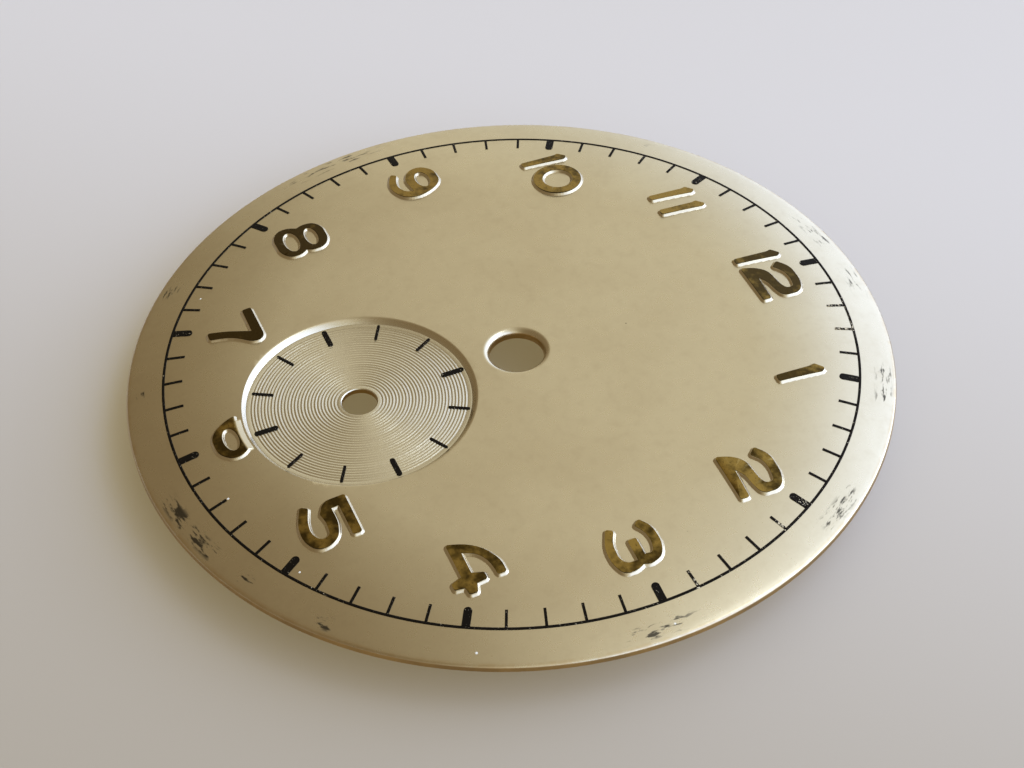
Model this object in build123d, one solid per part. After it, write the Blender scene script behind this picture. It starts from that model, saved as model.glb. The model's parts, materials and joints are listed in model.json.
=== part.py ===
from build123d import *
from math import atan2, cos, degrees, pi, radians, sin, sqrt, tan
import os

# A watch dial: a thin blank with a flat crown and a bent-down shoulder, struck raised numerals
# with gilt tops, a printed minute track, a turned recess for the seconds hand and two feet.
# Lengths are millimetres. The origin is on the axis of the centre hole, at the crown's underside.
# +Z points out of the dial's face, +Y points at twelve o'clock and +X at three o'clock.
# The pieces are drawn about the rim's axis and moved to that origin when they are written.

# Blank: a flat crown inside a shoulder that bends down to the rim, with a flat seat under the rim
dial_radius = 14.5
sheet_thickness = 0.4
shoulder_width = 5.5
shoulder_radius = 23.15
seat_width = 0.75
rim_round = 0.13
crown_radius = dial_radius - shoulder_width

# Centre hole, punched slightly off the rim's axis, with the soft lip that the punch leaves
centre_hole_radius = 1.04
centre_lip_round = 0.24
hole_shift_across = 0.063
hole_shift_up = 0.137

# Minute track, printed on the shoulder: a ring inside the rim, and marks that end at it
ink_thickness = 0.02
minute_ring_margin = 1.4
minute_ring_width = 0.1
minute_tick_length = 0.67
minute_tick_width = 0.1
hour_baton_length = 0.73
hour_baton_width = 0.3
minutes = 60
hours = 12
minute_ring_radius = dial_radius - minute_ring_margin

# Numerals, struck up from the face: the relief is the height of the gilt top above the face
numeral_height = 1.95
numeral_margin = 2.4
numeral_relief = 0.09
numeral_side_run = 0.085
numeral_sink = 0.03
numeral_corner_round = 0.09
gilt_thickness = 0.02
numeral_circle_radius = minute_ring_radius - numeral_margin

# Seconds recess, turned into the face from near the centre to the middle of the six
recess_centre_gap = 1.8
recess_six_gap = 0.2
recess_depth = 0.18
recess_wall_run = 0.18
seconds_hole_radius = 0.66
seconds_hole_round = 0.03
recess_end = numeral_circle_radius - recess_six_gap
recess_offset = (recess_end + recess_centre_gap) / 2
recess_radius = (recess_end - recess_centre_gap) / 2
recess_floor_radius = recess_radius - recess_wall_run

# Fine rings turned into the recess floor
groove_pitch = 0.12
groove_depth = 0.014
inner_land = 0.2
outer_land = 0.06

# The struck six slopes down towards the recess that cuts it
six_slope_run = 0.33
six_slope_start = 0.02

# Seconds track, printed on the recess floor a little above the middle of the recess
seconds_track_lift = 0.05
quarter_tick_margin = 0.07
quarter_tick_length = 0.9
quarter_tick_width = 0.2
thin_tick_margin = 0.09
thin_tick_length = 0.81
thin_tick_width = 0.11
seconds_tick_count = 12
quarters = 4

# Feet near the rim, each a pin with a collar that is soldered to the back
foot_margin = 2.5
foot_clock_angle = 58.0
foot_radius = 0.4
foot_reach = 2.1
foot_chamfer = 0.08
collar_radius = 0.6
collar_height = 0.3
solder_spread = 0.35
solder_height = 0.24
foot_circle_radius = dial_radius - foot_margin

# One overrun serves all cuts
overrun = 0.4

# Outlines of the digits: corners of a closed line, as shares of the numeral height from the
# digit's middle. Each corner is sharp, slightly rounded, or a curve as wide as its sides allow.
SHARP = 0
ROUND = 1
CURVE = 2

digit_outline_shares = {
    "1": [
        (-0.118, 0.355, ROUND), (0.062, 0.513, ROUND), (0.128, 0.415, ROUND), (0.077, -0.5, ROUND),
        (-0.087, -0.5, ROUND), (-0.087, 0.27, SHARP),
    ],
    "2": [
        (-0.508, 0.3, ROUND), (-0.256, 0.5, CURVE), (0.256, 0.495, CURVE), (0.544, 0.346, CURVE),
        (0.554, -0.054, CURVE), (0.282, -0.136, CURVE), (0.051, -0.156, CURVE), (-0.144, -0.28, SHARP),
        (0.528, -0.315, ROUND), (0.528, -0.495, ROUND), (-0.554, -0.495, ROUND), (-0.455, -0.19, CURVE),
        (-0.28, 0.0, CURVE), (0.205, 0.054, CURVE), (0.355, 0.125, CURVE), (0.345, 0.28, CURVE),
        (0.051, 0.336, CURVE), (-0.179, 0.3, CURVE), (-0.369, 0.141, ROUND),
    ],
    "3": [
        (-0.508, 0.331, ROUND), (-0.287, 0.495, CURVE), (0.123, 0.516, CURVE), (0.405, 0.382, CURVE),
        (0.477, 0.141, CURVE), (0.431, 0.013, SHARP), (0.508, -0.141, CURVE), (0.508, -0.397, CURVE),
        (0.226, -0.516, CURVE), (-0.133, -0.505, CURVE), (-0.518, -0.315, ROUND), (-0.436, -0.182, ROUND),
        (-0.185, -0.326, CURVE), (0.174, -0.346, CURVE), (0.318, -0.244, CURVE), (0.313, -0.054, SHARP),
        (-0.144, -0.054, ROUND), (-0.144, 0.121, ROUND), (0.241, 0.121, SHARP), (0.262, 0.269, CURVE),
        (0.046, 0.346, CURVE), (-0.21, 0.321, CURVE), (-0.405, 0.197, ROUND),
    ],
    "4": [
        (0.385, 0.495, ROUND), (0.138, 0.505, CURVE), (-0.195, 0.367, CURVE), (-0.451, 0.1, CURVE),
        (-0.595, -0.285, ROUND), (0.174, -0.285, SHARP), (0.246, -0.5, ROUND), (0.385, -0.5, ROUND),
        (0.41, -0.31, SHARP), (0.574, -0.285, ROUND), (0.579, -0.131, ROUND), (0.4, -0.074, SHARP),
        (0.385, 0.131, ROUND), (0.236, 0.131, ROUND), (0.164, -0.085, SHARP), (-0.318, -0.085, SHARP),
        (-0.195, 0.162, CURVE), (0.062, 0.305, CURVE), (0.385, 0.326, ROUND),
    ],
    "5": [
        (-0.472, 0.518, ROUND), (0.472, 0.518, ROUND), (0.472, 0.344, ROUND), (-0.277, 0.338, SHARP),
        (-0.267, 0.19, SHARP), (0.087, 0.205, CURVE), (0.395, 0.103, CURVE), (0.538, -0.103, CURVE),
        (0.513, -0.359, CURVE), (0.241, -0.518, CURVE), (-0.118, -0.503, CURVE), (-0.533, -0.323, ROUND),
        (-0.441, -0.19, ROUND), (-0.144, -0.308, CURVE), (0.138, -0.333, CURVE), (0.344, -0.215, CURVE),
        (0.308, -0.031, CURVE), (0.01, 0, CURVE), (-0.215, -0.046, ROUND), (-0.472, 0.092, CURVE),
    ],
    "7": [
        (-0.492, 0.505, ROUND), (0.369, 0.505, CURVE), (0.472, 0.403, CURVE), (0.451, 0.233, CURVE),
        (0.149, -0.095, CURVE), (0.021, -0.505, ROUND), (-0.174, -0.495, ROUND), (-0.056, -0.136, CURVE),
        (0.174, 0.31, SHARP), (-0.492, 0.321, ROUND),
    ],
    "8": [
        (-0.221, 0.521, CURVE), (0.21, 0.521, CURVE), (0.421, 0.372, CURVE), (0.431, 0.115, CURVE),
        (0.369, 0.003, SHARP), (0.462, -0.126, CURVE), (0.467, -0.362, CURVE), (0.251, -0.521, CURVE),
        (-0.251, -0.521, CURVE), (-0.467, -0.362, CURVE), (-0.467, -0.126, CURVE), (-0.379, 0.023, SHARP),
        (-0.431, 0.141, CURVE), (-0.421, 0.372, CURVE),
    ],
    "9": [
        (-0.467, 0.318, CURVE), (-0.262, 0.523, CURVE), (0.138, 0.523, CURVE), (0.328, 0.344, CURVE),
        (0.456, 0.062, CURVE), (0.472, -0.169, CURVE), (0.364, -0.39, CURVE), (0.123, -0.513, CURVE),
        (-0.159, -0.513, CURVE), (-0.477, -0.359, ROUND), (-0.4, -0.251, ROUND), (-0.185, -0.344, CURVE),
        (0.046, -0.364, CURVE), (0.231, -0.262, CURVE), (0.272, -0.108, SHARP), (-0.133, -0.154, CURVE),
        (-0.364, -0.051, CURVE), (-0.477, 0.113, CURVE),
    ],
}

# Ovals as shares of the numeral height: middle across, middle up, half width and half height.
# The nought has an oval outside, and the openings of the digits are ovals.
nought_shares = (0, 0, 0.487, 0.503)
opening_shares = {
    "0": [(0, 0.005, 0.308, 0.313)],
    "8": [(0, 0.218, 0.292, 0.128), (0, -0.203, 0.323, 0.154)],
    "9": [(-0.036, 0.195, 0.272, 0.146)],
}
oval_corners = 12

# Each numeral: the place of its middle as shares of the numeral circle's radius, then its digits,
# each with its shift sideways as a share of the numeral height and its width against the outline.
numeral_place_shares = {
    1: (0.521, 0.870),
    2: (0.869, 0.498),
    3: (1.001, -0.002),
    4: (0.858, -0.504),
    5: (0.493, -0.869),
    6: (-0.003, -1.001),
    7: (-0.499, -0.863),
    8: (-0.868, -0.484),
    9: (-0.999, 0.017),
    10: (-0.825, 0.522),
    11: (-0.490, 0.884),
    12: (0.024, 1.011),
}
numeral_digit_shares = {
    10: [("1", -0.53, 0.85), ("0", 0.19, 1)],
    11: [("1", -0.255, 0.88), ("1", 0.255, 0.88)],
    12: [("1", -0.567, 0.88), ("2", 0.172, 0.94)],
}
six_width_share = 1.08

hole_centre = Pos(hole_shift_across, hole_shift_up, 0)
recess_centre = Pos(0, -recess_offset, 0)
recess_floor = sheet_thickness - recess_depth
crown_top = sheet_thickness
underside_radius = shoulder_radius - sheet_thickness


def shoulder_drop(radius, bend):
    """How far a shoulder of the given bend has dropped at a radius of the dial."""
    reach = max(radius - crown_radius, 0)
    return bend - sqrt(bend * bend - reach * reach)


def face_height(radius):
    """Height of the dial's face at a radius."""
    return crown_top - shoulder_drop(radius, shoulder_radius)


def back_height(radius):
    """Height of the dial's back at a radius."""
    return -shoulder_drop(radius, underside_radius)


def turned(profile, place=Pos(0, 0, 0)):
    """A solid turned from a face drawn as radius and height."""
    return place * revolve(Plane.XZ * profile, axis=Axis.Z)


def clock_turn(angle):
    """Turns a piece drawn towards twelve o'clock to a clock angle."""
    return Rot(0, 0, -angle)


def separate(solids):
    """A group of solids that stay separate."""
    return Compound(children=[solid for shape in solids for solid in shape.solids()])


def blank_solid():
    """The plain blank: flat crown, bent shoulder, seat ring under the rim and lipped centre hole."""
    seat_start = dial_radius - seat_width
    seat_height = back_height(seat_start)
    crown_edge = (crown_radius, crown_top)
    rim_top = (dial_radius, face_height(dial_radius))
    back_edge = (crown_radius, 0)
    seat_inner = (seat_start, seat_height)
    lines = [
        Line((0, 0), (0, crown_top)),
        Line((0, crown_top), crown_edge),
        TangentArc(crown_edge, rim_top, tangent=(1, 0)),
        Line(rim_top, (dial_radius, seat_height)),
        Line((dial_radius, seat_height), seat_inner),
        TangentArc(back_edge, seat_inner, tangent=(1, 0)),
        Line(back_edge, (0, 0)),
    ]
    profile = make_face(lines)
    profile = fillet(profile.vertices().sort_by_distance(rim_top)[0], rim_round)
    punch = extrude(hole_centre * Circle(centre_hole_radius), amount=crown_top + overrun, both=True)
    blank = turned(profile) - punch
    lip_middle = Vector(hole_shift_across, hole_shift_up, crown_top)
    lip = blank.edges().filter_by(GeomType.CIRCLE).sort_by(lambda edge: (edge.arc_center - lip_middle).length)[0]
    return fillet(lip, centre_lip_round)


def groove_line():
    """The recess floor from its hole to its wall, as radius and height, with its turned rings."""
    first = seconds_hole_radius + seconds_hole_round + inner_land
    count = int((recess_floor_radius - outer_land - first) / groove_pitch)
    points = [(first, recess_floor)]
    for i in range(count):
        start = first + i * groove_pitch
        points.append((start + groove_pitch / 2, recess_floor - groove_depth))
        points.append((start + groove_pitch, recess_floor))
    points.append((recess_floor_radius, recess_floor))
    return points


def recess_cutter():
    """Everything that is cut away for the recess and its hole."""
    wall_slope = recess_wall_run / recess_depth
    top = crown_top + overrun
    hole_edge = recess_floor - seconds_hole_round
    outline = [
        (0, -overrun),
        (seconds_hole_radius, -overrun),
        (seconds_hole_radius, hole_edge),
        (seconds_hole_radius + seconds_hole_round, recess_floor),
        *groove_line(),
        (recess_floor_radius + (top - recess_floor) * wall_slope, top),
        (0, top),
    ]
    return turned(make_face(Polyline(*outline, close=True)), recess_centre)


def corner_radius(before, here, after, kind):
    """Radius of an outline's corner, limited by half of the shorter of its two sides."""
    if kind == SHARP:
        return 0
    side_in = here - before
    side_out = after - here
    half_turn = radians(side_in.get_angle(side_out)) / 2
    room_share = 0.49
    widest = room_share * min(side_in.length, side_out.length) / tan(half_turn)
    return widest if kind == CURVE else min(numeral_corner_round, widest)


def rounded_outline(corners, kinds):
    """A closed face whose corners are sharp, rounded or curved."""
    radii = []
    for i, kind in enumerate(kinds):
        after = corners[(i + 1) % len(corners)]
        radii.append(corner_radius(corners[i - 1], corners[i], after, kind))
    return make_face(FilletPolyline(*corners, radius=radii, close=True))


def oval_face(across, up, half_width, half_height):
    """An oval drawn by the tangent corners around an ellipse."""
    step = 2 * pi / oval_corners
    reach = 1 / cos(step / 2)
    corners = []
    for i in range(oval_corners):
        turn = i * step
        corners.append(Vector(across + half_width * reach * cos(turn), up + half_height * reach * sin(turn)))
    return rounded_outline(corners, [CURVE] * oval_corners)


def digit_face(digit, width_share=1):
    """The flat top of one digit, about its own middle."""
    wide = width_share * numeral_height
    if digit == "0":
        across, up, half_width, half_height = nought_shares
        face = oval_face(wide * across, numeral_height * up, wide * half_width, numeral_height * half_height)
    else:
        outline = digit_outline_shares[digit]
        corners = [Vector(wide * across, numeral_height * up) for across, up, kind in outline]
        face = rounded_outline(corners, [kind for across, up, kind in outline])
    for across, up, half_width, half_height in opening_shares.get(digit, []):
        face -= oval_face(wide * across, numeral_height * up, wide * half_width, numeral_height * half_height)
    return face


def numeral_faces(hour):
    """The flat tops of one numeral's digits, about the numeral's middle."""
    if hour == 6:
        return [Rot(0, 0, 180) * digit_face("9", six_width_share)]
    digits = numeral_digit_shares.get(hour, [(str(hour), 0, 1)])
    return [Pos(numeral_height * shift, 0, 0) * digit_face(digit, width) for digit, shift, width in digits]


def numeral_plane(hour):
    """The plane of the struck top under the gilt, square to the face at the numeral's middle."""
    across, up = numeral_place_shares[hour]
    x = numeral_circle_radius * across
    y = numeral_circle_radius * up
    radius = sqrt(x * x + y * y)
    lean = max(radius - crown_radius, 0) / shoulder_radius
    outward = Vector(x * lean / radius, y * lean / radius, sqrt(1 - lean * lean))
    foot_point = Vector(x, y, face_height(radius))
    top_point = foot_point + outward * (numeral_relief - gilt_thickness)
    return Plane(origin=top_point, x_dir=(1, 0, 0), z_dir=outward)


def six_slope_cutter():
    """The cone that presses the six down towards the recess."""
    face = face_height(numeral_circle_radius)
    start = recess_radius - six_slope_start
    rise = numeral_relief + overrun
    end = start + rise * six_slope_run / numeral_relief
    outline = [(0, face), (start, face), (end, face + rise), (0, face + rise)]
    return turned(make_face(Polyline(*outline, close=True)), recess_centre)


def numeral_bosses(hour):
    """The struck relief of one numeral below its gilt, reaching just under the face."""
    depth = numeral_relief - gilt_thickness + numeral_sink
    flare = degrees(atan2(numeral_side_run, numeral_relief))
    bosses = []
    for face in numeral_faces(hour):
        placed = numeral_plane(hour) * face
        bosses.append(extrude(placed, amount=-depth, taper=-flare))
    return bosses


def numeral_gilt(hour):
    """The gilt top of one numeral."""
    layers = []
    for face in numeral_faces(hour):
        layer = extrude(numeral_plane(hour) * face, amount=gilt_thickness)
        if hour == 6:
            layer = layer - six_slope_cutter() - recess_cutter()
        layers.append(layer)
    return separate(layers)


def dial_plate():
    """The finished blank, with its struck numerals and its recess."""
    plate = blank_solid()
    for hour in numeral_place_shares:
        for boss in numeral_bosses(hour):
            plate += boss - six_slope_cutter() if hour == 6 else boss
    return plate - recess_cutter()


def ink_band(start, end, blank):
    """A ring of ink that lies on the shoulder between two radii."""
    def ink_top(radius):
        return (radius, crown_top + ink_thickness - shoulder_drop(radius, shoulder_radius + ink_thickness))

    below = back_height(dial_radius)
    middle = (start + end) / 2
    lines = [
        ThreePointArc(ink_top(start), ink_top(middle), ink_top(end)),
        Line(ink_top(end), (end, below)),
        Line((end, below), (start, below)),
        Line((start, below), ink_top(start)),
    ]
    layers = turned(make_face(lines)) - blank
    return layers.solids().sort_by(Axis.Z)[-1]


def mark_cutter(start, end, width, round_end):
    """A tall block over one printed mark that points at twelve o'clock."""
    length = end - start
    outline = Pos(0, start + length / 2) * Rectangle(width, length)
    if round_end:
        half = width / 2
        outline = Pos(0, start + half + (length - half) / 2) * Rectangle(width, length - half)
        outline += Pos(0, start + half) * Circle(half)
    return Pos(0, 0, -dial_radius / 2) * extrude(outline, amount=dial_radius)


def minute_ring(blank):
    """The printed ring that closes the minute track."""
    half = minute_ring_width / 2
    return separate([ink_band(minute_ring_radius - half, minute_ring_radius + half, blank)])


def minute_marks(length, width, round_end, angles, blank):
    """Printed marks that end at the ring, one at each clock angle."""
    ring_edge = minute_ring_radius - minute_ring_width / 2
    start = ring_edge - length
    band = ink_band(start - overrun, ring_edge, blank)
    mark = band & mark_cutter(start, ring_edge + overrun, width, round_end)
    return separate([clock_turn(angle) * mark for angle in angles])


def minute_ticks(blank):
    """The thin marks between the hours."""
    step = 360 / minutes
    between = [i * step for i in range(minutes) if i % (minutes // hours)]
    return minute_marks(minute_tick_length, minute_tick_width, False, between, blank)


def hour_batons(blank):
    """The thick marks at the hours."""
    step = 360 / hours
    return minute_marks(hour_baton_length, hour_baton_width, True, [i * step for i in range(hours)], blank)


def seconds_marks(margin, length, width, numbers):
    """Printed marks on the recess floor, their ink filling the turned rings."""
    end = recess_floor_radius - margin
    start = end - length
    top = recess_floor + ink_thickness
    floor = groove_line()
    outline = floor + [(recess_floor_radius, top), (floor[0][0], top)]
    layer = turned(make_face(Polyline(*outline, close=True)), recess_centre)
    track_centre = Pos(0, seconds_track_lift - recess_offset, 0)
    step = 360 / seconds_tick_count
    block = mark_cutter(start, end - width / 2, width, True)
    block += Pos(0, 0, -dial_radius / 2) * extrude(Pos(0, end - width / 2) * Circle(width / 2), amount=dial_radius)
    return separate([layer & (track_centre * clock_turn(i * step) * block) for i in numbers])


def seconds_quarter_ticks():
    """The four thick marks of the seconds track."""
    each = seconds_tick_count // quarters
    at_quarters = range(0, seconds_tick_count, each)
    return seconds_marks(quarter_tick_margin, quarter_tick_length, quarter_tick_width, at_quarters)


def seconds_thin_ticks():
    """The thin marks between the quarters of the seconds track."""
    each = seconds_tick_count // quarters
    between = [i for i in range(seconds_tick_count) if i % each]
    return seconds_marks(thin_tick_margin, thin_tick_length, thin_tick_width, between)


def foot_place(clock_angle):
    """A place on the foot circle, at the height of the origin."""
    turn = radians(clock_angle)
    return Pos(foot_circle_radius * sin(turn), foot_circle_radius * cos(turn), 0)


def dial_foot(clock_angle, blank):
    """A round pin with a collar that stands on the dial's back."""
    collar_end = back_height(foot_circle_radius) - collar_height
    top = back_height(foot_circle_radius - collar_radius)
    outline = [
        (0, -foot_reach),
        (foot_radius - foot_chamfer, -foot_reach),
        (foot_radius, -foot_reach + foot_chamfer),
        (foot_radius, collar_end),
        (collar_radius, collar_end),
        (collar_radius, top),
        (0, top),
    ]
    return turned(make_face(Polyline(*outline, close=True)), foot_place(clock_angle)) - blank


def foot_solder(clock_angle, blank):
    """The cone of solder round a foot's collar."""
    back = back_height(foot_circle_radius)
    top = back_height(foot_circle_radius - collar_radius - solder_spread)
    outline = [
        (collar_radius, back - solder_height),
        (collar_radius + solder_spread, back),
        (collar_radius + solder_spread, top),
        (collar_radius, top),
    ]
    return turned(make_face(Polyline(*outline, close=True)), foot_place(clock_angle)) - blank


def export_piece(shape, name):
    """Writes one named piece, moved so that the origin is on the centre hole's axis."""
    moved = separate([hole_centre.inverse() * solid for solid in shape.solids()])
    export_step(moved, os.path.join("parts", name + ".step"))


def main():
    os.makedirs("parts", exist_ok=True)
    blank = blank_solid()
    export_piece(dial_plate(), "dial_plate")
    for hour in numeral_place_shares:
        export_piece(numeral_gilt(hour), f"numeral_{hour}_gilt")
    export_piece(minute_ring(blank), "minute_ring_print")
    export_piece(minute_ticks(blank), "minute_tick_print")
    export_piece(hour_batons(blank), "hour_baton_print")
    export_piece(seconds_quarter_ticks(), "seconds_quarter_print")
    export_piece(seconds_thin_ticks(), "seconds_tick_print")
    for name, angle in (("upper", foot_clock_angle), ("lower", foot_clock_angle + 180)):
        export_piece(dial_foot(angle, blank), f"dial_foot_{name}")
        export_piece(foot_solder(angle, blank), f"foot_solder_{name}")


main()
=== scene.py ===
import json
from math import asin, atan2, ceil, cos, pi, radians, sin, sqrt, tan

import bpy
from mathutils import Matrix, Vector


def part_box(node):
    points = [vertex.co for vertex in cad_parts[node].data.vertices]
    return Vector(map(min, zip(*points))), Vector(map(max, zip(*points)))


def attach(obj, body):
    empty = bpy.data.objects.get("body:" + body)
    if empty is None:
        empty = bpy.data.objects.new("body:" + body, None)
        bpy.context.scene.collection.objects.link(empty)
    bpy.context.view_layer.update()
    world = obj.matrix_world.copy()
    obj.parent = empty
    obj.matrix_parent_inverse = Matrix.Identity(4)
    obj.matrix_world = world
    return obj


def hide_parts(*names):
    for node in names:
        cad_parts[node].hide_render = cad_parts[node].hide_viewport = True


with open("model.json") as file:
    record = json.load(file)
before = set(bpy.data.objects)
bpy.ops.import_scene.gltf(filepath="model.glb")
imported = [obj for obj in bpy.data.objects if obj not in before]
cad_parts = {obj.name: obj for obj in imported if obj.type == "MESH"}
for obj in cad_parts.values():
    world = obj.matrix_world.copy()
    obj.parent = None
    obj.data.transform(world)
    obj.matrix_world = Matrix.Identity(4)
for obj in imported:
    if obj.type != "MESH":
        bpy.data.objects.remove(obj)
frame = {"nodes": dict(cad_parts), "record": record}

bl_info = {
    "name": "Watch Dial Finish",
    "version": (1, 0, 0),
    "blender": (4, 5, 0),
    "location": "View3D > Sidebar > Watch Dial",
    "description": "Builds the smooth plate, the struck relief and the finishes of a watch dial",
    "category": "Object",
}

MM = 0.001
HOURS = range(1, 13)
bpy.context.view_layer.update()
MOUNTS = {mount["name"]: mount for mount in frame["record"]["mounts"]}
HOLE_CENTRE = Vector((0, 0, 0))
RECESS_CENTRE = Vector((*MOUNTS["seconds_hole"]["pos_m"][:2], 0))
RING_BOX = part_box("minute_ring_print")
RIM_CENTRE = Vector(((RING_BOX[0].x + RING_BOX[1].x) / 2, (RING_BOX[0].y + RING_BOX[1].y) / 2, 0))

# Points closer than this are merged: on a turned piece, and on a CAD node or its copy
TURNED_MERGE = MM / 10000
NODE_MERGE = MM / 1000

# Facets round each turned shape
PLATE_STEPS = 384
HOLE_STEPS = 128
RECESS_STEPS = 256
RING_STEPS = 480

# Points along each part of a turned section
FACE_POINTS = 30
BACK_POINTS = 20
ROUND_POINTS = 8
LIP_POINTS = 10

# Section of the printed ring's bead: shares of its half width across and of its height up
BEAD_SHARES = ((-1, -0.3), (-1, 0.5), (-0.8, 0.9), (0, 1), (0.8, 0.9), (1, 0.5), (1, -0.3))

# How much of each numeral's gilt keeps a golden colour, from none to all; the rest is painted near black as
# a painted reflection of a dark room
GILT_TONES = {
    1: 0.3, 2: 0.7, 3: 0.7, 4: 0.6, 5: 0.4, 6: 0.25,
    7: 0.15, 8: 0.0, 9: 0.8, 10: 0.75, 11: 0.9, 12: 0.15,
}

# The direction in which the room gets brighter, and its light at places along that direction
ROOM_AXIS = (0.325, 0.894, -0.309)
ROOM_START = -0.65
ROOM_PEAK = 3.0
ROOM_LIGHT = (
    (0.03, (0.31, 0.24, 0.14)), (0.21, (0.40, 0.33, 0.20)), (0.33, (0.55, 0.49, 0.34)),
    (0.45, (0.93, 0.88, 0.69)), (0.58, (0.94, 0.92, 0.75)), (0.68, (1.00, 1.02, 0.92)),
    (0.78, (1.15, 1.24, 1.30)), (0.85, (1.65, 1.94, 2.55)), (1.00, (1.85, 2.18, 2.95)),
)

# Soft lamps: name, clock angle and rise in degrees, width and depth in metres, and radiance
LAMPS = (("window", 15, 16, 0.5, 0.16, 3.0), ("skylight", 14, 60, 0.2, 0.2, 2.0))
LAMP_DISTANCE = 0.5
DAYLIGHT = (0.86, 1.0, 1.15)


def length(name, millimetres, description):
    """A length property, given in millimetres."""
    return bpy.props.FloatProperty(
        name=name, default=millimetres * MM, unit="LENGTH", precision=5, description=description
    )


def colour(name, default, description):
    """A colour property."""
    return bpy.props.FloatVectorProperty(
        name=name, default=default, subtype="COLOR", size=3, min=0, max=1, description=description
    )


class DialSizes(bpy.types.PropertyGroup):
    """Sizes of the dial"""

    dial_radius: length("Dial radius", 14.5, "Outside of the rim")
    sheet: length("Sheet", 0.4, "Thickness of the blank")
    crown_radius: length("Crown radius", 9.0, "Where the flat crown ends and the shoulder starts")
    shoulder_bend: length("Shoulder bend", 23.15, "Radius of the shoulder's bend")
    seat_width: length("Seat width", 0.75, "Flat ring under the rim")
    rim_round: length("Rim round", 0.13, "Round of the rim's upper edge")
    hole_lip: length("Hole lip", 0.24, "Soft round of the centre hole's lip")
    recess_radius: length("Recess radius", 4.35, "Upper edge of the seconds recess")
    recess_depth: length("Recess depth", 0.18, "Depth of the seconds recess")
    recess_wall: length("Recess wall", 0.18, "Run of the recess's sloping wall")
    recess_lip: length("Recess lip", 0.15, "Soft round where the recess wall meets the face")
    groove_pitch: length("Groove pitch", 0.122, "Distance between two turned rings")
    groove_depth: length("Groove depth", 0.013, "Depth of the turned rings")
    relief: length("Relief", 0.08, "Height of the struck numerals under their gilt")
    relief_run: length("Relief run", 0.10, "Width of the soft slope round a struck numeral")
    relief_step: length("Relief step", 0.016, "Spacing of the points on the struck relief")
    six_slope: length("Six slope", 0.21, "Width of the slope from the six down to the recess")
    ring_radius: length("Minute ring radius", 13.1, "Middle of the printed ring")
    ring_width: length("Minute ring width", 0.1, "Width of the printed ring")
    ink: length("Ink", 0.02, "Thickness of the printed ink")


class DialColours(bpy.types.PropertyGroup):
    """Colours of the dial's finishes and of its floor"""

    silver: colour("Silvered face", (0.56, 0.485, 0.35), "Warm satin silvering")
    tarnish: colour("Tarnish", (0.26, 0.17, 0.075), "Brown toning of old silvering")
    recess_silver: colour("Recess silver", (0.60, 0.56, 0.47), "Cooler silvering in the seconds recess")
    brass: colour("Brass", (0.45, 0.29, 0.11), "Bare metal of the blank")
    grime: colour("Grime", (0.030, 0.026, 0.020), "Dark scuffs and specks")
    dust: colour("Dust", (0.80, 0.78, 0.74), "Pale dust")
    # Painted reflection: the gilt colour is near black, standing in for the dark room that the polished gilt
    # tops mirror
    gilt: colour("Gilt", (0.034, 0.021, 0.005), "Darkened gilt of the numerals")
    bright_gilt: colour("Bright gilt", (0.30, 0.195, 0.05), "Gilt where it is still clean")
    ink: colour("Ink", (0.006, 0.004, 0.002), "Printed marks")
    copper: colour("Copper", (0.62, 0.31, 0.17), "Feet")
    solder: colour("Solder", (0.42, 0.42, 0.40), "Tin solder at the feet")
    # Painted light and shade: the floor's colour runs from the first colour on its bright side to the second
    # on its dim side, standing in for light falling off across it
    floor: colour("Floor", (0.49, 0.485, 0.53), "Pale floor on its bright side")
    floor_painted_shade: colour("Dim floor", (0.24, 0.225, 0.225), "The same floor on its other side")
    floor_shade: colour("Floor shade", (0.17, 0.135, 0.062), "Warm tone of the floor where no light falls")


# Modelling helpers


def pick_only(piece):
    """Makes one object the only one selected, and the active one."""
    bpy.ops.object.select_all(action="DESELECT")
    piece.select_set(True)
    bpy.context.view_layer.objects.active = piece


def edit(piece):
    """Opens a piece in edit mode with all of it selected."""
    pick_only(piece)
    bpy.ops.object.mode_set(mode="EDIT")
    bpy.ops.mesh.select_all(action="SELECT")


def leave_edit():
    """Goes back to object mode."""
    bpy.ops.object.mode_set(mode="OBJECT")


def new_piece(name):
    """Names the primitive that was just added, and puts its place into its mesh."""
    piece = bpy.context.object
    piece.name = name
    piece.data.name = name
    bpy.ops.object.transform_apply(location=True, rotation=True, scale=True)
    return piece


def copy_node(node, name):
    """A merged copy of a CAD node's mesh, in an object of its own."""
    source = frame["nodes"][node]
    piece = bpy.data.objects.new(name, source.data.copy())
    bpy.context.scene.collection.objects.link(piece)
    edit(piece)
    bpy.ops.mesh.remove_doubles(threshold=NODE_MERGE)
    leave_edit()
    return piece


def apply(piece, kind, **settings):
    """Adds one modifier with its settings and applies it."""
    pick_only(piece)
    modifier = piece.modifiers.new(kind.lower(), kind)
    for key, value in settings.items():
        setattr(modifier, key, value)
    bpy.ops.object.modifier_apply(modifier=modifier.name)


def discard(*pieces):
    """Removes helper objects."""
    for piece in pieces:
        bpy.data.objects.remove(piece)


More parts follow.
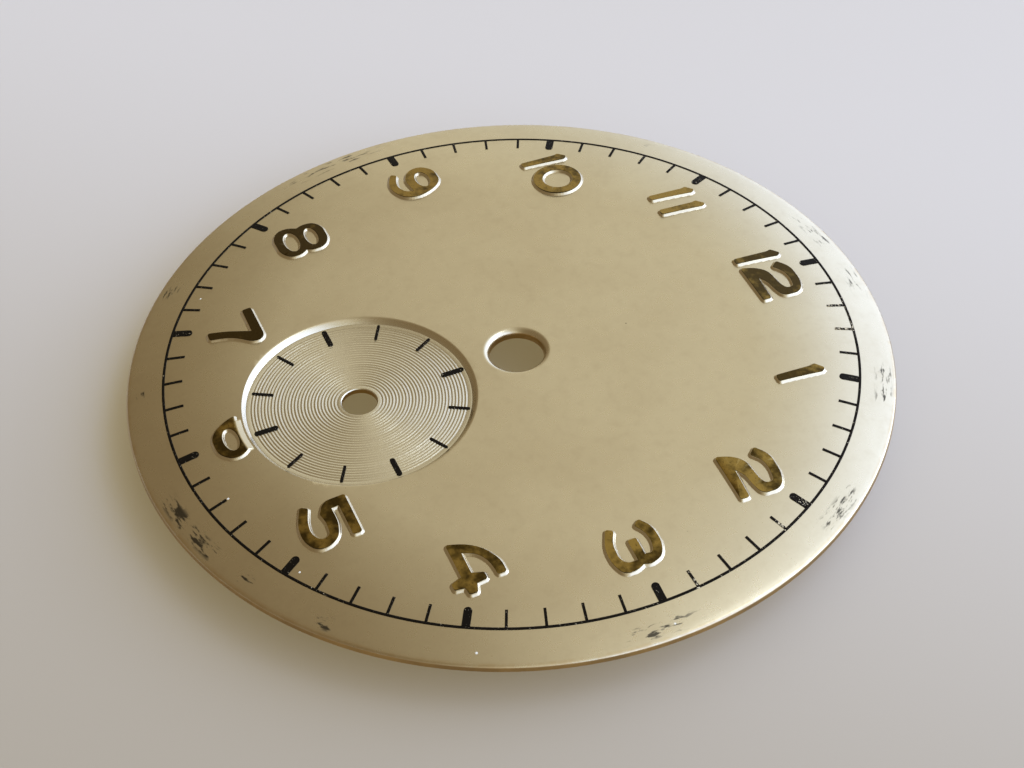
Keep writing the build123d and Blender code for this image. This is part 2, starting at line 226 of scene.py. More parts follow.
def turn(name, profile, centre, steps):
    """Turns a closed profile of radius and height about an upright axis."""
    bpy.ops.mesh.primitive_plane_add(size=MM)
    piece = new_piece(name)
    edit(piece)
    bpy.ops.mesh.merge(type="CENTER")
    start = centre + Vector((profile[0][0], 0, profile[0][1]))
    bpy.ops.transform.translate(value=start)
    closed = [*profile, profile[0]]
    for (radius, height), (next_radius, next_height) in zip(closed, closed[1:]):
        step = (next_radius - radius, 0, next_height - height)
        bpy.ops.mesh.extrude_region_move(TRANSFORM_OT_translate={"value": step})
    bpy.ops.mesh.select_all(action="SELECT")
    bpy.ops.mesh.remove_doubles(threshold=TURNED_MERGE)
    bpy.ops.mesh.spin(steps=steps, angle=2 * pi, center=centre, axis=(0, 0, 1))
    bpy.ops.mesh.select_all(action="SELECT")
    bpy.ops.mesh.remove_doubles(threshold=TURNED_MERGE)
    bpy.ops.mesh.normals_make_consistent(inside=False)
    leave_edit()
    return piece


def paint(piece, material):
    """Gives a piece or a CAD node its one material."""
    piece.data.materials.clear()
    piece.data.materials.append(material)


def finish_piece(piece, material, node):
    """Gives a new piece its finish, hangs it on the root body, and hides the CAD node it stands for."""
    paint(piece, material)
    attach(piece, "root")
    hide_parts(node)


def smooth(piece, angle):
    """Smooth shading, with sharp edges past an angle in degrees."""
    pick_only(piece)
    bpy.ops.object.shade_smooth_by_angle(angle=radians(angle))


# Shapes of the plate


def drop(sizes, radius, inner=0):
    """How far the shoulder has dropped at a radius; inner is how far below the face the surface lies."""
    bend = sizes.shoulder_bend - inner
    reach = max(radius - sizes.crown_radius, 0)
    return bend - sqrt(bend * bend - reach * reach)


def spaced(start, end, count):
    """Values from start to end, the end left out."""
    return [start + (end - start) * i / count for i in range(count)]


def blank_profile(sizes):
    """The blank's section before it is cut: crown, shoulder, rim, seat and back."""
    top = sizes.sheet
    points = [(0, 0)]
    points += [(radius, top) for radius in spaced(0, sizes.crown_radius, FACE_POINTS)]
    round_middle = sizes.dial_radius - sizes.rim_round
    for radius in spaced(sizes.crown_radius, round_middle, FACE_POINTS):
        points.append((radius, top - drop(sizes, radius)))
    round_height = top - sizes.rim_round - drop(sizes, round_middle, sizes.rim_round)
    tangent = asin((round_middle - sizes.crown_radius) / (sizes.shoulder_bend - sizes.rim_round))
    for angle in spaced(tangent, pi / 2, ROUND_POINTS):
        across = round_middle + sizes.rim_round * sin(angle)
        points.append((across, round_height + sizes.rim_round * cos(angle)))
    seat_start = sizes.dial_radius - sizes.seat_width
    seat = -drop(sizes, seat_start, top)
    points += [(sizes.dial_radius, round_height), (sizes.dial_radius, seat)]
    for radius in spaced(seat_start, sizes.crown_radius, BACK_POINTS):
        points.append((radius, -drop(sizes, radius, top)))
    points += [(radius, 0) for radius in spaced(sizes.crown_radius, 0, BACK_POINTS)]
    return points


def lip_points(corner, top, lip, slope):
    """A soft lip, from a wall of some slope to the face, that then clears the face."""
    middle = corner + lip * tan(slope / 2)
    last = radians(3)
    rise = lip / 25
    points = []
    for angle in [*spaced(slope, last, LIP_POINTS), last]:
        points.append((middle - lip * sin(angle), top - lip + lip * cos(angle)))
    edge, height = points[-1]
    points.append((edge + rise / tan(last), height + rise))
    return points


def hole_profile(sizes):
    """The section of what is cut away for the centre hole, with its lip."""
    hole = MOUNTS["centre_hole"]["dims"]["r_mm"] * MM
    clear = sizes.sheet
    lip = lip_points(hole, sizes.sheet, sizes.hole_lip, pi / 2)
    return [(0, -clear), (hole, -clear), *lip, (lip[-1][0], sizes.sheet + clear), (0, sizes.sheet + clear)]


def recess_profile(sizes):
    """The section of what is cut away for the seconds recess, with its turned rings and lip."""
    hole = MOUNTS["seconds_hole"]["dims"]["r_mm"] * MM
    clear = sizes.sheet
    chamfer = 0.03 * MM
    inner_land = 0.08 * MM
    outer_land = 0.06 * MM
    floor = sizes.sheet - sizes.recess_depth
    floor_radius = sizes.recess_radius - sizes.recess_wall
    points = [(0, -clear), (hole, -clear), (hole, floor - chamfer), (hole + chamfer, floor)]
    first = hole + chamfer + inner_land
    grooves = int((floor_radius - outer_land - first) / sizes.groove_pitch)
    for i in range(grooves * 2 + 1):
        dip = sizes.groove_depth * (i % 2)
        points.append((first + i * sizes.groove_pitch / 2, floor - dip))
    slope = atan2(sizes.recess_depth, sizes.recess_wall)
    lip = lip_points(sizes.recess_radius, sizes.sheet, sizes.recess_lip, slope)
    points += [(floor_radius, floor), *lip, (lip[-1][0], sizes.sheet + clear), (0, sizes.sheet + clear)]
    return points


class DIAL_OT_plate(bpy.types.Operator):
    """Turns the smooth blank and cuts its centre hole and its seconds recess"""

    bl_idname = "dial.plate"
    bl_label = "Turned Plate"

    def execute(self, context):
        sizes = context.scene.dial_sizes
        plate = turn("turned_plate", blank_profile(sizes), RIM_CENTRE, PLATE_STEPS)
        punch = turn("punch", hole_profile(sizes), HOLE_CENTRE, HOLE_STEPS)
        cutter = turn("recess_cutter", recess_profile(sizes), RECESS_CENTRE, RECESS_STEPS)
        face = silvered_face(context.scene.dial_colours, sizes)
        for tool in (punch, cutter):
            apply(plate, "BOOLEAN", operation="DIFFERENCE", object=tool, solver="EXACT")
        discard(punch, cutter)
        smooth(plate, 20)
        apply(plate, "WEIGHTED_NORMAL", keep_sharp=True)
        finish_piece(plate, face, "dial_plate")
        return {"FINISHED"}


class DIAL_OT_relief(bpy.types.Operator):
    """Strikes the soft relief of each numeral up from the face"""

    bl_idname = "dial.relief"
    bl_label = "Struck Relief"

    def execute(self, context):
        sizes = context.scene.dial_sizes
        blank = turn("relief_blank", blank_profile(sizes), RIM_CENTRE, PLATE_STEPS)
        face = bpy.data.materials["silvered_face"]
        for hour in HOURS:
            relief = self.strike(hour, sizes, blank)
            finish_piece(relief, face, "dial_plate")
        discard(blank)
        return {"FINISHED"}

    def strike(self, hour, sizes, blank):
        """The raised ground of one numeral: a fine grid, lifted near the numeral's outline."""
        outline = copy_node(f"numeral_{hour}_gilt", "outline")
        self.flatten(outline)
        if hour == 6:
            self.bridge(outline, sizes)
        piece = self.grid(hour, sizes)
        self.weigh(piece, "relief", outline, sizes.relief_run, 0, "SMOOTH")
        if hour == 6:
            self.fade_to_recess(piece, sizes)
        self.trim(piece)
        self.lift(piece, sizes, blank)
        self.close(piece, sizes)
        smooth(piece, 50)
        discard(outline)
        return piece

    def grid(self, hour, sizes):
        """A fine flat grid that covers one numeral and its slopes."""
        low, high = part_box(f"numeral_{hour}_gilt")
        margin = sizes.relief_run + 2 * sizes.relief_step
        if hour == 6:
            margin += sizes.six_slope
        width = high.x - low.x + 2 * margin
        depth = high.y - low.y + 2 * margin
        bpy.ops.mesh.primitive_grid_add(
            x_subdivisions=ceil(width / sizes.relief_step),
            y_subdivisions=ceil(depth / sizes.relief_step),
            size=1,
            location=((low.x + high.x) / 2, (low.y + high.y) / 2, 0),
        )
        bpy.context.object.scale = (width, depth, 1)
        return new_piece(f"numeral_{hour}_relief")

    def lift(self, piece, sizes, blank):
        """Lays the grid on the blank's face and raises it by its weights."""
        edit(piece)
        bpy.ops.transform.translate(value=(0, 0, sizes.sheet * 2))
        leave_edit()
        apply(piece, "SHRINKWRAP", target=blank, wrap_method="PROJECT", use_project_z=True,
              use_negative_direction=True, use_positive_direction=False)
        apply(piece, "DISPLACE", direction="Z", vertex_group="relief", strength=sizes.relief, mid_level=0)

    def close(self, piece, sizes):
        """Sinks the relief's edge a little into the face and closes the relief below it."""
        sink = sizes.relief / 200
        edit(piece)
        bpy.ops.transform.translate(value=(0, 0, -sink))
        bpy.ops.mesh.select_all(action="DESELECT")
        bpy.ops.mesh.select_non_manifold()
        bpy.ops.mesh.extrude_region_move(TRANSFORM_OT_translate={"value": (0, 0, -sizes.relief / 2)})
        bpy.ops.mesh.fill()
        bpy.ops.mesh.select_all(action="SELECT")
        bpy.ops.mesh.normals_make_consistent(inside=False)
        leave_edit()

    def slope_end(self, sizes):
        """Where the six's slope ends, just outside the recess, as a radius about the recess's axis."""
        return sizes.recess_radius + sizes.recess_lip / 10

    def bridge(self, outline, sizes):
        """Adds a flat strip between the six's cut edge and the recess, so that one slope joins them."""
        reach = self.slope_end(sizes)
        edge_band = MM / 50
        points = [point.co.copy() for point in outline.data.vertices]
        nearest = min((point - RECESS_CENTRE).length for point in points)
        edge = [point for point in points if (point - RECESS_CENTRE).length < nearest + edge_band]
        first = min(edge, key=lambda point: point.x)
        last = max(edge, key=lambda point: point.x)
        away = ((first + last) / 2 - RECESS_CENTRE).normalized()
        depth = nearest - reach
        bpy.ops.mesh.primitive_plane_add(
            size=1,
            location=RECESS_CENTRE + away * (reach + depth / 2),
            rotation=(0, 0, atan2(away.y, away.x)),
        )
        bpy.context.object.scale = (depth, (last - first).length - sizes.relief_run / 2, 1)
        strip = new_piece("six_strip")
        pick_only(outline)
        strip.select_set(True)
        bpy.ops.object.join()

    def flatten(self, outline):
        """Lays a copy of the gilt flat at height zero."""
        edit(outline)
        bpy.ops.transform.resize(value=(1, 1, 0), center_override=(0, 0, 0))
        leave_edit()

    def weigh(self, piece, group, target, far, near, falloff):
        """Weights points by their distance from a target: none at far, all at near."""
        every_point = range(len(piece.data.vertices))
        piece.vertex_groups.new(name=group).add(every_point, 1, "REPLACE")
        apply(piece, "VERTEX_WEIGHT_PROXIMITY", vertex_group=group, target=target,
              proximity_mode="GEOMETRY", proximity_geometry={"FACE"},
              min_dist=far, max_dist=near, falloff_type=falloff)

    def fade_to_recess(self, piece, sizes):
        """Lets the six slope down to the recess that cuts it."""
        bpy.ops.mesh.primitive_circle_add(
            vertices=RECESS_STEPS, radius=self.slope_end(sizes), fill_type="NGON", location=RECESS_CENTRE
        )
        disc = new_piece("recess_disc")
        self.weigh(piece, "slope", disc, 0, sizes.six_slope, "LINEAR")
        apply(piece, "VERTEX_WEIGHT_MIX", vertex_group_a="relief", vertex_group_b="slope",
              mix_mode="MUL", mix_set="ALL")
        discard(disc)

    def trim(self, piece):
        """Deletes the flat ground that no relief reaches."""
        least_weight = 0.0001
        pick_only(piece)
        piece.vertex_groups.active = piece.vertex_groups["relief"]
        bpy.ops.object.vertex_group_clean(group_select_mode="ACTIVE", limit=least_weight)
        edit(piece)
        bpy.ops.mesh.select_all(action="DESELECT")
        bpy.ops.object.vertex_group_select()
        bpy.ops.mesh.select_all(action="INVERT")
        bpy.ops.mesh.delete(type="VERT")
        leave_edit()


class DIAL_OT_gilding(bpy.types.Operator):
    """Softens the edges of the gilt tops and finishes each in its own tone"""

    bl_idname = "dial.gilding"
    bl_label = "Numeral Gilt"

    edge_round: length("Edge round", 0.012, "Worn round of the gilt's edges")

    def execute(self, context):
        for hour in HOURS:
            node = frame["nodes"][f"numeral_{hour}_gilt"]
            weld = node.modifiers.new("weld", "WELD")
            weld.merge_threshold = NODE_MERGE
            bevel = node.modifiers.new("worn_edge", "BEVEL")
            bevel.width = self.edge_round
            bevel.segments = 2
            bevel.limit_method = "ANGLE"
            bevel.angle_limit = radians(50)
            paint(node, gilt_with_painted_reflection(context.scene.dial_colours, hour, GILT_TONES[hour]))
        return {"FINISHED"}


class DIAL_OT_printing(bpy.types.Operator):
    """Prints the smooth minute ring and inks all marks"""

    bl_idname = "dial.printing"
    bl_label = "Printed Track"

    def execute(self, context):
        sizes = context.scene.dial_sizes
        material = printed_ink(context.scene.dial_colours)
        ring = turn("printed_ring", self.ring_profile(sizes), RIM_CENTRE, RING_STEPS)
        smooth(ring, 40)
        finish_piece(ring, material, "minute_ring_print")
        for name in ("minute_tick_print", "hour_baton_print", "seconds_quarter_print", "seconds_tick_print"):
            paint(frame["nodes"][name], material)
        return {"FINISHED"}

    def ring_profile(self, sizes):
        """A low rounded bead of ink on the shoulder."""
        half = sizes.ring_width / 2
        points = []
        for across, up in BEAD_SHARES:
            radius = sizes.ring_radius + half * across
            points.append((radius, sizes.sheet - drop(sizes, radius) + sizes.ink * up))
        return points


class DIAL_OT_feet(bpy.types.Operator):
    """Finishes the copper feet and their solder"""

    bl_idname = "dial.feet"
    bl_label = "Feet"

    def execute(self, context):
        colours = context.scene.dial_colours
        copper = drawn_copper(colours)
        tin = tin_solder(colours)
        for end in ("upper", "lower"):
            paint(frame["nodes"][f"dial_foot_{end}"], copper)
            paint(frame["nodes"][f"foot_solder_{end}"], tin)
        return {"FINISHED"}


# Materials


class Wire:
    """A node's output that takes part in Python sums."""

    def __init__(self, recipe, socket):
        self.recipe = recipe
        self.socket = socket

    def math(self, operation, first, second):
        """One sum of two values, each a wire or a number."""
        return self.recipe.node("ShaderNodeMath", {"operation": operation}, {0: first, 1: second})

    def __add__(self, other):
        return self.math("ADD", self, other)

    def __radd__(self, other):
        return self.math("ADD", other, self)

    def __sub__(self, other):
        return self.math("SUBTRACT", self, other)

    def __rsub__(self, other):
        return self.math("SUBTRACT", other, self)

    def __mul__(self, other):
        return self.math("MULTIPLY", self, other)

    def __rmul__(self, other):
        return self.math("MULTIPLY", other, self)

    def __truediv__(self, other):
        return self.math("DIVIDE", self, other)

    def __rtruediv__(self, other):
        return self.math("DIVIDE", other, self)


class Recipe:
    """A material or the room's light under construction."""

    def __init__(self, holder, output="ShaderNodeOutputMaterial", coordinates="Object"):
        self.holder = holder
        self.holder.use_nodes = True
        self.tree = self.holder.node_tree
        self.tree.nodes.clear()
        self.output = self.tree.nodes.new(output)
        self.place = self.node("ShaderNodeTexCoord", {}, {}, coordinates)

    def node(self, kind, settings, inputs, output=0):
        """Adds a node: settings first, then socket values or links. Returns one of its outputs."""
        node = self.tree.nodes.new(kind)
        for key, value in settings.items():
            if key == "stops":
                self.set_stops(node.color_ramp, value)
            else:
                setattr(node, key, value)
        for key, value in inputs.items():
            if isinstance(value, Wire):
                self.tree.links.new(value.socket, node.inputs[key])
            else:
                node.inputs[key].default_value = value
        return Wire(self, node.outputs[output])

    def set_stops(self, ramp, stops):
        """Gives a ramp its stops, each a position and a colour."""
        while len(ramp.elements) > 1:
            ramp.elements.remove(ramp.elements[0])
        for i, (position, value) in enumerate(stops):
            element = ramp.elements[0] if i == 0 else ramp.elements.new(position)
            element.position = position
            element.color = (*value, 1)

    def noise(self, size, detail=2.0, rough=0.5, shift=0.0):
        """Noise whose features are about as wide as size."""
        where = self.node(
            "ShaderNodeMapping", {}, {"Vector": self.place, "Location": (shift, shift * 2, shift * 3)}
        )
        return self.node(
            "ShaderNodeTexNoise", {"noise_dimensions": "3D"},
            {"Vector": where, "Scale": 1 / size, "Detail": detail, "Roughness": rough}, "Fac",
        )

    def ramp(self, value, low, high):
        """Zero below low, one above high, and smooth between them."""
        return self.node(
            "ShaderNodeMapRange", {"interpolation_type": "SMOOTHSTEP"},
            {"Value": value, "From Min": low, "From Max": high, "To Min": 0.0, "To Max": 1.0},
        )

    def mix(self, factor, first, second):
        """A colour between two colours, each a wire or three numbers."""
        first, second = (value if isinstance(value, Wire) else (*value, 1) for value in (first, second))
        return self.node("ShaderNodeMix", {"data_type": "RGBA"}, {0: factor, 6: first, 7: second}, 2)

    def upright(self):
        """How far the surface looks up: one for the face, zero for a wall, minus one for the back."""
        normal = self.node("ShaderNodeNewGeometry", {}, {}, "Normal")
        return self.node("ShaderNodeSeparateXYZ", {}, {"Vector": normal}, "Z")

    def distance(self, point):
        """Distance from an upright axis through a point."""
        flat = self.node(
            "ShaderNodeVectorMath", {"operation": "MULTIPLY"}, {0: self.place, 1: (1, 1, 0)}, "Vector"
        )
        return self.node(
            "ShaderNodeVectorMath", {"operation": "DISTANCE"}, {0: flat, 1: (point.x, point.y, 0)}, "Value"
        )

    def rings(self, radius, size):
        """Noise that changes with a radius only, as a turning tool leaves it."""
        return self.node(
            "ShaderNodeTexNoise", {"noise_dimensions": "1D"},
            {"W": radius / size, "Scale": 1.0, "Detail": 2.0, "Roughness": 0.6}, "Fac",
        )

    def specks(self, spacing, size, shift):
        """Scattered round specks."""
        where = self.node(
            "ShaderNodeMapping", {}, {"Vector": self.place, "Location": (shift, shift, 0)}
        )
        cell = self.node(
            "ShaderNodeTexVoronoi", {"voronoi_dimensions": "3D"},
            {"Vector": where, "Scale": 1 / spacing}, "Distance",
        )
        return self.ramp(cell * spacing, size, size * 0.6)

    def smears(self, radius, middle, long, wide):
        """Noise drawn out along the rim; middle is the radius at which the smears are as long as given."""
        away = self.node(
            "ShaderNodeVectorMath", {"operation": "SUBTRACT"}, {0: self.place, 1: RIM_CENTRE}, "Vector"
        )
        across = self.node("ShaderNodeSeparateXYZ", {}, {"Vector": away}, "X")
        up = self.node("ShaderNodeSeparateXYZ", {}, {"Vector": away}, "Y")
        around = self.node("ShaderNodeMath", {"operation": "ARCTAN2"}, {0: across, 1: up})
        where = self.node("ShaderNodeCombineXYZ", {}, {"X": around * (middle / long), "Y": radius / wide})
        return self.node(
            "ShaderNodeTexNoise", {"noise_dimensions": "2D"},
            {"Vector": where, "Scale": 1.0, "Detail": 4.0, "Roughness": 0.6}, "Fac",
        )

    def patch(self, clock, radius, reach):
        """One at a place on the dial given by clock angle and radius, and zero past its reach."""
        around = radians(clock)
        place = RIM_CENTRE + Vector((sin(around), cos(around), 0)) * radius * MM
        return self.ramp(self.distance(place), reach * MM, 0.0)

    def bump(self, height, depth):
        """A normal from a height, in which a step of one is as deep as depth."""
        return self.node(
            "ShaderNodeBump", {}, {"Height": height, "Distance": depth, "Strength": 1.0}, "Normal"
        )

    def surface(self, **inputs):
        """Ends the recipe in a Principled surface."""
        names = {key.replace("_", " "): value for key, value in inputs.items()}
        return self.finish(self.node("ShaderNodeBsdfPrincipled", {}, names))

    def finish(self, shader):
        """Links the last shader to the output."""
        self.tree.links.new(shader.socket, self.output.inputs["Surface"])
        return self.holder


# Wear on the rim: clock angle, radius and reach in millimetres, and strength
SCUFFS = (
    (6, 13.95, 1.6, 0.3), (30, 14.0, 1.6, 0.6), (57, 14.0, 1.5, 0.8), (92, 14.1, 2.3, 0.35),
    (140, 14.05, 0.5, 0.7), (154, 14.0, 0.5, 0.6), (164, 14.05, 1.3, 0.9), (171, 13.95, 1.2, 1.0),
    (197, 13.9, 0.4, 0.9), (220, 14.1, 0.8, 0.5), (260, 14.1, 3.4, 0.4), (317, 14.0, 0.4, 0.7),
    (352, 14.0, 1.9, 0.4),
)

# Dust that lies on the face: clock angle, radius and reach in millimetres
DUST = (
    (118, 14.0, 0.08), (90, 14.0, 0.07), (135, 13.1, 0.08),
    (148, 12.77, 0.07), (168, 12.3, 0.08), (219, 12.6, 0.07),
)


def silvered_face(colours, sizes):
    """Satin silvering with ring turning in the recess, toning, scuffs, specks and bare walls."""
    recipe = Recipe(bpy.data.materials.new("silvered_face"))
    silver = tuple(colours.silver)
    tarnish = tuple(colours.tarnish)
    from_rim_axis = recipe.distance(RIM_CENTRE)
    from_recess = recipe.distance(RECESS_CENTRE)
    recess = recipe.ramp(from_recess, sizes.recess_radius, sizes.recess_radius - sizes.recess_wall)

    # Slow clouds, fine mottling and grain of the silvering
    clouds = recipe.ramp(recipe.noise(4 * MM, detail=3), 0.38, 0.72)
    mottle = recipe.noise(0.5 * MM, detail=4, rough=0.65, shift=0.3)
    grain = recipe.noise(0.035 * MM, detail=2, rough=0.6)
    base = recipe.mix(clouds * 0.10, silver, tarnish)
    base = recipe.mix(recipe.ramp(mottle, 0.45, 0.75) * 0.10, base, tarnish)
    base = recipe.mix(recess * 0.5, base, tuple(colours.recess_silver))

    # Scuffs in a band near the rim, dark specks and pale dust
    band_start, band_full = 13.6 * MM, 13.85 * MM
    band_fades, band_end = 14.2 * MM, 14.38 * MM
    band = recipe.ramp(from_rim_axis, band_start, band_full)
    band = band * recipe.ramp(from_rim_axis, band_end, band_fades)
    scuffs = 0.0
    for clock, radius, reach, strength in SCUFFS:
        scuffs = recipe.patch(clock, radius, reach) * strength + scuffs
    smears = recipe.smears(from_rim_axis, middle=14 * MM, long=0.7 * MM, wide=0.16 * MM)
    scuffed = recipe.ramp(smears + scuffs * 0.2, 0.60, 0.74) * band * recipe.ramp(scuffs, 0.02, 0.3)
    speckled = recipe.ramp(recipe.noise(3 * MM, detail=1), 0.45, 0.6)
    specks = recipe.specks(1.7 * MM, 0.035 * MM, shift=0.02) * speckled
    grime = tuple(colours.grime)
    base = recipe.mix(scuffed * 0.9, base, grime)
    base = recipe.mix(specks * 0.7, base, grime)
    dusty = recipe.ramp(recipe.noise(2.5 * MM, detail=1, shift=0.2), 0.5, 0.65)
    dust = recipe.specks(1.9 * MM, 0.028 * MM, shift=0.05) * dusty
    for clock, radius, reach in DUST:
        dust = recipe.ramp(recipe.patch(clock, radius, reach), 0.3, 0.6) + dust
    dust = recipe.ramp(dust, 0.1, 0.6)
    base = recipe.mix(dust, base, tuple(colours.dust))

    # The rim's worn edge, and bare metal on walls and back
    worn_start, worn_full = 14.30 * MM, 14.42 * MM
    worn = recipe.ramp(from_rim_axis, worn_start, worn_full) * recipe.ramp(mottle, 0.35, 0.6)
    base = recipe.mix(worn * 0.25, base, tuple(colours.brass))
    bare = recipe.ramp(recipe.upright(), 0.55, 0.25)
    stain = recipe.ramp(recipe.noise(1.6 * MM, detail=4, rough=0.6, shift=0.4), 0.35, 0.7)
    metal = recipe.mix(stain * 0.6, tuple(colours.brass), tarnish)
    base = recipe.mix(bare, base, metal)

    # Grain on the face, and fine tool lines in the recess that are eight times as deep
    metallic = 1.0 - dust
    rough = 0.25 + mottle * 0.06 + scuffed * 0.1 + bare * 0.08 - recess * 0.03
    lines = recipe.rings(from_recess, 0.02 * MM)
    height = grain * (1.0 - recess) + lines * recess * 8.0
    grain_depth = 0.0006 * MM
    return recipe.surface(
        Base_Color=base, Metallic=metallic, Roughness=rough, Normal=recipe.bump(height, grain_depth)
    )


def gilt_with_painted_reflection(colours, hour, tone):
    """Gilt painted near black as a painted reflection of a dark room, with golden patches, and painted shade
    on its rounded edges; the tone says how much of it is golden.
    """
    recipe = Recipe(bpy.data.materials.new(f"gilt_with_painted_reflection_{hour}"))
    pit_depth = 0.0015 * MM
    spread = recipe.noise(0.8 * MM, detail=3, rough=0.6) + tone * 0.34
    patches = recipe.ramp(spread, 0.56, 0.82)
    fine = recipe.noise(0.09 * MM, detail=4, rough=0.7)
    pits = recipe.ramp(fine, 0.56, 0.66)
    # Painted shade: the gilt is darkened all round the rounded edges of each top
    edge = recipe.ramp(recipe.upright(), 0.97, 0.85)
    # Painted reflection: this near-black colour stands in for the dark room that the polished tops mirror
    dark = tuple(colours.gilt)
    base = recipe.mix(patches * 0.8 + fine * 0.15, dark, tuple(colours.bright_gilt))
    base = recipe.mix(pits * 0.6, base, dark)
    base = recipe.mix(edge * 0.8, base, dark)
    return recipe.surface(
        Base_Color=base, Metallic=1.0, Roughness=0.22 + fine * 0.15, Normal=recipe.bump(fine, pit_depth)
    )


# Places where the print is chipped: clock angle, radius and reach in millimetres
CHIPS = (
    (17, 12.7, 1.1), (60, 12.9, 0.3), (66, 12.9, 0.5),
    (84, 12.9, 0.5), (200, 13.1, 0.15), (12, 12.6, 1.0),
)


def printed_ink(colours):
    """Matt printing ink with small chips."""
    recipe = Recipe(bpy.data.materials.new("printed_ink"))
    fine = recipe.noise(0.07 * MM, detail=3, rough=0.6)
    near = 0.0
    for clock, radius, reach in CHIPS:
        near = recipe.patch(clock, radius, reach) + near
    chips = recipe.ramp(fine + near * 0.14, 0.66, 0.70)
    base = recipe.mix(chips, tuple(colours.ink), tuple(colours.silver))
    return recipe.surface(
        Base_Color=base, Metallic=chips, Roughness=0.5 + fine * 0.2, Specular_IOR_Level=0.06
    )


def drawn_copper(colours):
    """Dull drawn copper."""
    recipe = Recipe(bpy.data.materials.new("drawn_copper"))
    stain = recipe.noise(0.5 * MM, detail=3)
    base = recipe.mix(stain * 0.4, tuple(colours.copper), tuple(colours.tarnish))
    return recipe.surface(Base_Color=base, Metallic=1.0, Roughness=0.3 + stain * 0.2)


def tin_solder(colours):
    """Grey solder."""
    recipe = Recipe(bpy.data.materials.new("tin_solder"))
    stain = recipe.noise(0.2 * MM, detail=3)
    base = recipe.mix(stain * 0.4, tuple(colours.solder), tuple(colours.tarnish))
    return recipe.surface(Base_Color=base, Metallic=0.9, Roughness=0.3 + stain * 0.3)


def pale_floor(colours):
    """The plain pale surface that the dial stands on, with painted shade that makes it dimmer on one side,
    and a warm tone in its shadow.
    """
    recipe = Recipe(bpy.data.materials.new("pale_floor"))
    bright_clock = radians(312)
    dim_end, bright_end = -28 * MM, 22 * MM
    cloud = recipe.noise(60 * MM, detail=2)
    along = recipe.node(
        "ShaderNodeVectorMath", {"operation": "DOT_PRODUCT"},
        {0: recipe.place, 1: (sin(bright_clock), cos(bright_clock), 0)}, "Value",
    )
    # Painted light and shade: the floor goes from its dim colour to its bright one along this direction
    painted_falloff = recipe.ramp(along, dim_end, bright_end)
    base = recipe.mix(painted_falloff, tuple(colours.floor_painted_shade), tuple(colours.floor))
    base = recipe.mix(cloud * 0.04, base, tuple(colours.tarnish))
    camera_ray = recipe.node("ShaderNodeLightPath", {}, {}, "Is Camera Ray")
    glossy_ray = recipe.node("ShaderNodeLightPath", {}, {}, "Is Glossy Ray")
    shade = recipe.mix(recipe.ramp(camera_ray + glossy_ray, 0.0, 1.0), (0, 0, 0), tuple(colours.floor_shade))
    return recipe.surface(
        Base_Color=base, Metallic=0.0, Roughness=0.6, Emission_Color=shade, Emission_Strength=1.0
    )


# Stage


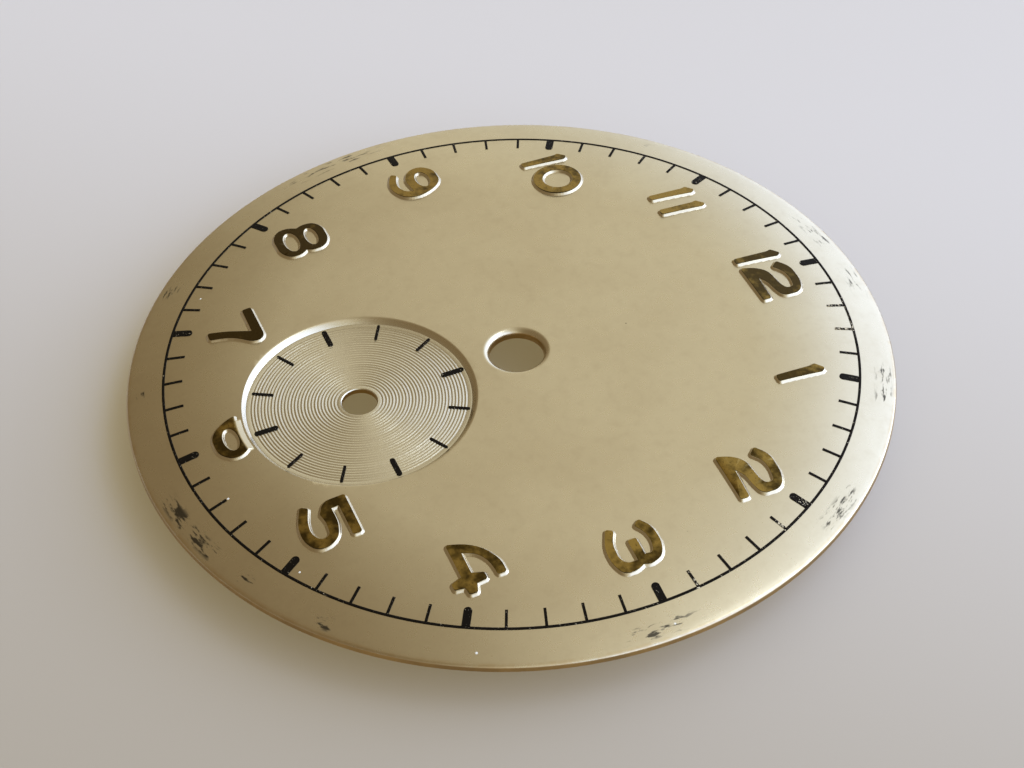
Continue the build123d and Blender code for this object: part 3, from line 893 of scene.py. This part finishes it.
class DIAL_OT_stage(bpy.types.Operator):
    """Sets the floor, the soft light and the camera"""

    bl_idname = "dial.stage"
    bl_label = "Stage"

    ring_height: length("Ring height", 0.05, "Height of the printed ring's top in the frame")
    camera_place: bpy.props.FloatVectorProperty(
        name="Camera place", size=3, default=(4.2083, -1.65757, 4.4034),
        description="Camera from the middle of the printed ring, in ring radii",
    )

    def execute(self, context):
        scene = context.scene
        sizes = scene.dial_sizes
        self.camera(scene, sizes)
        self.floor(scene.dial_colours)
        self.room(scene)
        for lamp in LAMPS:
            self.lamp(scene, *lamp)
        scene.view_settings.view_transform = "Standard"
        return {"FINISHED"}

    def camera(self, scene, sizes):
        """The photograph's view, from the fit to the printed ring."""
        image_width = 1024
        focal_pixels = 2183.37
        axis_pixel = 604
        right = Vector((0.41832176, 0.90829682, 0.00194569))
        down = Vector((0.64282904, -0.29454419, -0.70711707))
        ahead = Vector((-0.6416991, 0.2970532, -0.70709382))
        data = bpy.data.cameras.new("camera")
        data.sensor_width = 36
        data.lens = data.sensor_width * focal_pixels / image_width
        data.shift_x = (image_width / 2 - axis_pixel) / image_width
        data.clip_start = MM
        data.clip_end = 10
        camera = bpy.data.objects.new("camera", data)
        scene.collection.objects.link(camera)
        ring_middle = RIM_CENTRE + Vector((0, 0, self.ring_height))
        place = ring_middle + Vector(self.camera_place) * sizes.ring_radius
        turn_matrix = Matrix((right, -down, -ahead)).transposed()
        camera.matrix_world = Matrix.Translation(place) @ turn_matrix.to_4x4()
        scene.camera = camera

    def floor(self, colours):
        """A level floor under the feet."""
        floor_width = 1.2
        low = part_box("dial_foot_upper")[0].z
        bpy.ops.mesh.primitive_plane_add(size=floor_width, location=(0, 0, low))
        floor = new_piece("floor")
        paint(floor, pale_floor(colours))

    def room(self, scene):
        """A soft room that gets brighter towards the dial's right side."""
        recipe = Recipe(bpy.data.worlds.new("room"), "ShaderNodeOutputWorld", "Generated")
        along = recipe.node(
            "ShaderNodeVectorMath", {"operation": "DOT_PRODUCT"}, {0: recipe.place, 1: ROOM_AXIS}, "Value"
        )
        stops = [(place, [part / ROOM_PEAK for part in light]) for place, light in ROOM_LIGHT]
        shade = recipe.node("ShaderNodeValToRGB", {"stops": stops}, {"Fac": along - ROOM_START}, "Color")
        glow = recipe.node("ShaderNodeBackground", {}, {"Color": shade, "Strength": ROOM_PEAK})
        scene.world = recipe.finish(glow)

    def lamp(self, scene, name, clock, rise, width, depth, radiance):
        """A rectangular soft lamp that faces the dial, placed by clock angle and rise."""
        around = radians(clock)
        up = radians(rise)
        place = Vector((cos(up) * sin(around), cos(up) * cos(around), sin(up))) * LAMP_DISTANCE
        data = bpy.data.lights.new(name, "AREA")
        data.shape = "RECTANGLE"
        data.size = width
        data.size_y = depth
        data.energy = radiance * pi * width * depth
        data.color = DAYLIGHT
        lamp = bpy.data.objects.new(name, data)
        scene.collection.objects.link(lamp)
        lamp.matrix_world = Matrix.Translation(place) @ place.to_track_quat("Z", "Y").to_matrix().to_4x4()


class DIAL_PT_panel(bpy.types.Panel):
    """Lists the steps that finish the dial"""

    bl_idname = "DIAL_PT_panel"
    bl_label = "Watch Dial"
    bl_space_type = "VIEW_3D"
    bl_region_type = "UI"
    bl_category = "Watch Dial"

    def draw(self, context):
        for step in STEPS:
            self.layout.operator(step.bl_idname)
        for group in (context.scene.dial_sizes, context.scene.dial_colours):
            for name in group.__annotations__:
                self.layout.prop(group, name)


STEPS = (DIAL_OT_plate, DIAL_OT_relief, DIAL_OT_gilding, DIAL_OT_printing, DIAL_OT_feet, DIAL_OT_stage)
CLASSES = (DialSizes, DialColours, *STEPS, DIAL_PT_panel)


def register():
    for entry in CLASSES:
        bpy.utils.register_class(entry)
    bpy.types.Scene.dial_sizes = bpy.props.PointerProperty(type=DialSizes)
    bpy.types.Scene.dial_colours = bpy.props.PointerProperty(type=DialColours)


def unregister():
    del bpy.types.Scene.dial_colours
    del bpy.types.Scene.dial_sizes
    for entry in reversed(CLASSES):
        bpy.utils.unregister_class(entry)


def main():
    register()
    bpy.ops.dial.plate()
    bpy.ops.dial.relief()
    bpy.ops.dial.gilding()
    bpy.ops.dial.printing()
    bpy.ops.dial.feet()
    bpy.ops.dial.stage()


if __name__ == "__main__":
    main()
